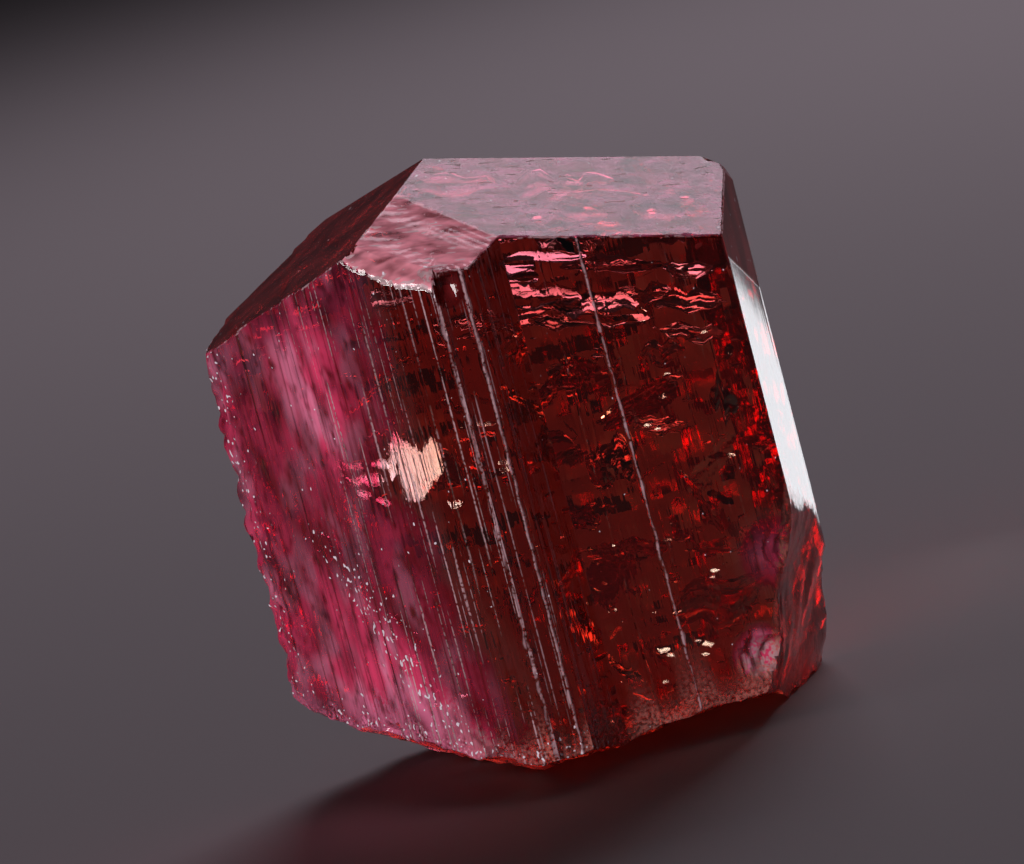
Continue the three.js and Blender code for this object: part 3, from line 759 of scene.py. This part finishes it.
vertices = np.vstack(vertices)
looks = np.vstack([looks, np.zeros((len(vertices) - len(looks), len(LOOKS)))])
quads, triangles = np.vstack(quads), np.vstack(triangles)
mesh = bpy.data.meshes.new("tourmaline_crystal")
mesh.from_pydata((vertices * MM).tolist(), [], quads.tolist() + triangles.tolist())
first_corner = np.concatenate([quads[:, 0], triangles[:, 0]])
for name, values in zip(LOOKS, looks.T):
    mesh.attributes.new(name, "FLOAT", "POINT").data.foreach_set("value", values.astype(np.float32))
mesh.polygons.foreach_set("use_smooth", np.ones(len(mesh.polygons), bool))
mesh.set_sharp_from_angle(angle=np.radians(16))
crystal = bpy.data.objects.new("tourmaline_crystal", mesh)
bpy.context.scene.collection.objects.link(crystal)

# Tourmaline: see-through, deep red, with frosted and cloudy places on its skin
IOR = 1.63
ABSORPTION = 153
ABSORBED_TO = (0.93, 0.33, 0.125)

tourmaline = bpy.data.materials.new("tourmaline")
tourmaline.use_nodes = True
tree = tourmaline.node_tree
tree.nodes.clear()


def wire(slot, value):
    """Sets an input to a number or colour, or links it to another node."""
    if isinstance(value, bpy.types.NodeSocket):
        tree.links.new(value, slot)
    else:
        slot.default_value = value


def math(operation, *values):
    """The result of one sum, difference, product or maximum."""
    made = tree.nodes.new("ShaderNodeMath")
    made.operation = operation
    for slot, value in zip(made.inputs, values):
        wire(slot, value)
    return made.outputs[0]


def blend(amount, a, b):
    """Colour a at amount 0, colour b at amount 1."""
    made = tree.nodes.new("ShaderNodeMix")
    made.data_type = "RGBA"
    for n, value in ((0, amount), (6, a), (7, b)):
        wire(made.inputs[n], value)
    return made.outputs[2]


def ramp(value, start, end):
    """0 below start, 1 above end, smooth between."""
    made = tree.nodes.new("ShaderNodeMapRange")
    made.interpolation_type = "SMOOTHSTEP"
    for n, item in enumerate((value, start, end)):
        wire(made.inputs[n], item)
    return made.outputs[0]


def shade(name):
    """One of the looks that the mesh carries, by name."""
    made = tree.nodes.new("ShaderNodeAttribute")
    made.attribute_name = name
    return made.outputs["Fac"]


place = tree.nodes.new("ShaderNodeTexCoord").outputs["Object"]


def noise(stretch, size, detail=2.0, roughness=0.5):
    """Noise about `size` mm across, drawn out by the three stretch factors."""
    squeezed = tree.nodes.new("ShaderNodeVectorMath")
    squeezed.operation = "MULTIPLY"
    wire(squeezed.inputs[0], place)
    wire(squeezed.inputs[1], tuple(1 / s for s in stretch))
    made = tree.nodes.new("ShaderNodeTexNoise")
    wire(made.inputs["Vector"], squeezed.outputs[0])
    wire(made.inputs["Scale"], 1 / (size * MM))
    wire(made.inputs["Detail"], detail)
    wire(made.inputs["Roughness"], roughness)
    return made.outputs[0]


(wear_and_highlight_shade, milk_shade, rough_shade, line_shade,
 crown_shade, dull_shade, painted_dark_red_shade, painted_glint_shade) = map(shade, LOOKS)
hair_lines = noise((1, 1, 40), 0.35, 1)
mottle = noise((1, 1, 2.0), 0.8, 1, 0.65)
grit = noise((1, 1, 1), 0.32, 1, 0.65)
specks = noise((1, 1, 1.2), 0.33, 0)
feathers = noise((2.2, 1, 1), 1.2, 2, 0.65)
patches = noise((1, 1, 1.6), 3.0, 1, 0.6)

# Where each kind of skin shows, from 0 to 1: a look of the mesh broken up by noise
cloud = math("MULTIPLY", milk_shade, math("MULTIPLY", ramp(mottle, 0.1, 0.55), ramp(hair_lines, 0.15, 0.5)))
scratches = math("MULTIPLY", crown_shade, ramp(noise((7, 1, 1), 0.3, 0), 0.68, 0.78))
# Pale where worn, and where painted highlights lie along the groove tips
worn = math("MULTIPLY", wear_and_highlight_shade, ramp(grit, 0.15, 0.6))
pale = ramp(math("MAXIMUM", worn, math("MULTIPLY", scratches, 0.3)), 0.08, 0.6)
frost = math("MULTIPLY", ramp(grit, 0.25, 0.7), math("MULTIPLY", 1.8, patches))
frost = math("MULTIPLY", rough_shade, frost)
# Painted glints: near-white specks that stand for tiny facets catching the light
painted_glint_specks = ramp(math("ADD", specks, math("MULTIPLY", painted_glint_shade, 0.17)), 0.84, 0.88)
etched = math("MULTIPLY", dull_shade, ramp(patches, 0.3, 0.7))
# Painted reflections: streaky pink patches on the top faces that stand for light reflected back from the
# cracks inside
painted_reflection_start = math("SUBTRACT", 0.42, math("MULTIPLY", crown_shade, 0.14))
painted_reflections = math("MULTIPLY", crown_shade, ramp(feathers, painted_reflection_start, 0.80))
# Painted dark red skin: painted shade on the pit, the blunt corner and the upper right face, and on the left
# face of the pyramid a stand-in for red light from inside
painted_dark_red = math("MULTIPLY", painted_dark_red_shade, ramp(feathers, 0.0, 0.4))

# Colour zones: pink at the left and the top, brown-red in the body
place_parts = tree.nodes.new("ShaderNodeSeparateXYZ")
wire(place_parts.inputs[0], place)
x_place, _, z_place = place_parts.outputs
brown = math("MULTIPLY", ramp(x_place, -0.013, -0.004), ramp(z_place, 0.040, 0.030))
clear_tint = blend(brown, (1.0, 0.72, 0.86, 1), (1.0, 0.86, 0.70, 1))
# Tint of the painted reflections: pink-violet on the bright face, warmer on the spoilt and worn faces
painted_reflection_tint = blend(ramp(crown_shade, 1.2, 1.8), (1.0, 0.27, 0.52, 1), (1.0, 0.34, 0.44, 1))
painted_dark_red_tint = blend(ramp(patches, 0.25, 0.75), (0.16, 0.013, 0.018, 1), (0.50, 0.043, 0.053, 1))
cloud_tint = blend(ramp(patches, 0.45, 0.65), (0.95, 0.065, 0.19, 1), (0.95, 0.23, 0.41, 1))
frost_tint = blend(brown, (0.98, 0.22, 0.42, 1), (0.78, 0.25, 0.22, 1))

# Each kind of skin takes its full colour where it shows at all, or the see-through part would grey it.
# How much it shows is how solid it is there: its share of light that doesn't pass into the crystal.
tint, solid = clear_tint, 0.0
for kind, full_from, colour, share in (
    (etched, 0.05, (0.80, 0.34, 0.28, 1), 0.25),
    # painted pink reflections on the top faces
    (painted_reflections, 0.05, painted_reflection_tint, 0.50),
    # painted dark red: painted shade, and red light from inside on the left face of the pyramid
    (painted_dark_red, 0.05, painted_dark_red_tint, 0.6),
    (cloud, 0.05, cloud_tint, 0.9),
    (frost, 0.1, frost_tint, 0.7),
    # pale: wear and scratches, and painted highlights along the groove tips
    (pale, 0.25, (0.72, 0.42, 0.49, 1), 0.7),
    # painted glints: near-white specks
    (painted_glint_specks, 0.1, (0.95, 0.82, 0.95, 1), 0.95),
):
    tint = blend(ramp(kind, 0.0, full_from), tint, colour)
    solid = math("MAXIMUM", solid, math("MULTIPLY", kind, share))
clear = math("SUBTRACT", 1.0, solid)

# Roughness: glassy on the grown faces, more where the skin is brushed, frosted, worn or dull, where the
# painted highlights lie along the groove tips, and on the blunt corner and the upper right face, which are
# painted dark red
gloss = math("ADD", 0.012, math("MULTIPLY", math("SUBTRACT", 1.0, line_shade), 0.06))
for kind, share in (
    (frost, 0.10), (ramp(pale, 0, 0.4), 0.5), (ramp(painted_dark_red_shade, 0.65, 0.95), 0.8), (dull_shade, 0.12),
):
    gloss = math("ADD", gloss, math("MULTIPLY", kind, share))

hair = math("MULTIPLY", math("MULTIPLY", hair_lines, line_shade), 0.3)
lift = math("ADD", hair, math("MULTIPLY", grit, rough_shade))
bump = tree.nodes.new("ShaderNodeBump")
for name, value in (("Strength", 0.35), ("Distance", 0.0002), ("Height", lift)):
    wire(bump.inputs[name], value)
shader = tree.nodes.new("ShaderNodeBsdfPrincipled")
for name, value in (
    ("Base Color", tint), ("Roughness", gloss), ("IOR", IOR), ("Transmission Weight", clear),
    ("Normal", bump.outputs[0]),
):
    wire(shader.inputs[name], value)
absorb = tree.nodes.new("ShaderNodeVolumeAbsorption")
absorb.inputs["Color"].default_value = (*ABSORBED_TO, 1)
absorb.inputs["Density"].default_value = ABSORPTION
output = tree.nodes.new("ShaderNodeOutputMaterial")
tree.links.new(shader.outputs[0], output.inputs["Surface"])
tree.links.new(absorb.outputs[0], output.inputs["Volume"])
mesh.materials.append(tourmaline)

# The faces of the cracks, bubbles and tubes inside are bare and clean. The colour round them is the
# crystal's own.
bare = bpy.data.materials.new("tourmaline_inside")
bare.use_nodes = True
bare_shader = bare.node_tree.nodes["Principled BSDF"]
for name, value in (
    ("Base Color", (1.0, 0.93, 0.88, 1)), ("Roughness", 0.012), ("IOR", IOR), ("Transmission Weight", 1.0),
):
    bare_shader.inputs[name].default_value = value
mesh.materials.append(bare)
mesh.polygons.foreach_set("material_index", (first_corner >= inside_from).astype(np.int32))

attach(crystal, "root")
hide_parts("crystal")

# Floor
# A wide sheet of pale matte card, lit from above and behind.
FLOOR_SIZE = 6.0
floor_mesh = bpy.data.meshes.new("floor")
half = FLOOR_SIZE / 2
floor_corners = [(-half, -half, 0), (half, -half, 0), (half, half, 0), (-half, half, 0)]
floor_mesh.from_pydata(floor_corners, [], [(0, 1, 2, 3)])
floor = bpy.data.objects.new("floor", floor_mesh)
bpy.context.scene.collection.objects.link(floor)
paper = bpy.data.materials.new("floor_card")
paper.use_nodes = True
card_shader = paper.node_tree.nodes["Principled BSDF"]
card_shader.inputs["Base Color"].default_value = (0.49, 0.465, 0.475, 1)
card_shader.inputs["Roughness"].default_value = 0.85
card_shader.inputs["Specular IOR Level"].default_value = 0.2
floor_mesh.materials.append(paper)

# Light
# Soft boxes. The top face mirrors a large one behind and above, which also lights the floor. The key
# stands at the upper left in front, flagged off the floor. The right face mirrors a narrow card.


def soft_box(name, centre, facing, along, width, height, radiance, colour=(1, 1, 1)):
    """A rectangle of light at centre that looks along -facing; its width runs near `along`."""
    facing = np.array(facing, float) / np.linalg.norm(facing)
    across = np.array(along, float) - np.dot(along, facing) * facing
    across /= np.linalg.norm(across)
    lamp = bpy.data.lights.new(name, "AREA")
    lamp.shape = "RECTANGLE"
    lamp.size = width
    lamp.size_y = height
    lamp.energy = radiance * np.pi * width * height
    lamp.color = colour
    holder = bpy.data.objects.new(name, lamp)
    pose = np.eye(4)
    pose[:3] = np.stack([across, np.cross(facing, across), facing, centre], axis=1)
    holder.matrix_world = Matrix(pose.tolist())
    holder.visible_camera = False
    bpy.context.scene.collection.objects.link(holder)
    return holder


MIDDLE = np.array([0.0, 0.0, 0.028])
TOP_WAY = np.array([0.354, 0.686, 0.636])
soft_box(
    "top_box", MIDDLE + 0.8 * TOP_WAY, TOP_WAY, (1, 0, 0),
    width=0.50, height=0.42, radiance=2.1, colour=(1.0, 0.86, 0.97),
)
KEY_WAY = np.array([-0.66, -0.62, 0.42])
key = soft_box(
    "key_box", MIDDLE + 0.5 * KEY_WAY, KEY_WAY, (1, 0, 0),
    width=0.25, height=0.25, radiance=10.0, colour=(1.0, 0.97, 0.95),
)
lit = bpy.data.collections.new("lit_by_key")
lit.objects.link(crystal)
key.light_linking.receiver_collection = lit
# The card faces the right face's mirror image of the camera. Its lower edge and its side follow the
# ends of the bright band on that face.
CARD_WAY = np.array([0.365, 0.919, -0.148])
CARD_EDGE = np.array([0.394, -0.010, 0.919])
CARD_SIDE = np.array([0.841, -0.394, -0.371])
CARD_CORNER = np.array([42.3, 43.4, 27.8])
card = soft_box(
    "right_card", (CARD_CORNER - 8 * CARD_EDGE + 5 * CARD_SIDE) * MM, CARD_WAY, CARD_EDGE,
    width=0.029, height=0.010, radiance=1.7, colour=(0.93, 0.96, 1.0),
)
card.visible_diffuse = False
card.visible_transmission = False

world = bpy.data.worlds.new("studio")
world.use_nodes = True
world.node_tree.nodes["Background"].inputs["Color"].default_value = (0.018, 0.016, 0.018, 1)
bpy.context.scene.world = world
bpy.context.scene.view_settings.view_transform = "Standard"
bpy.context.scene.cycles.max_bounces = 7
bpy.context.scene.cycles.transmission_bounces = 7
bpy.context.scene.cycles.diffuse_bounces = 1
bpy.context.scene.cycles.glossy_bounces = 4
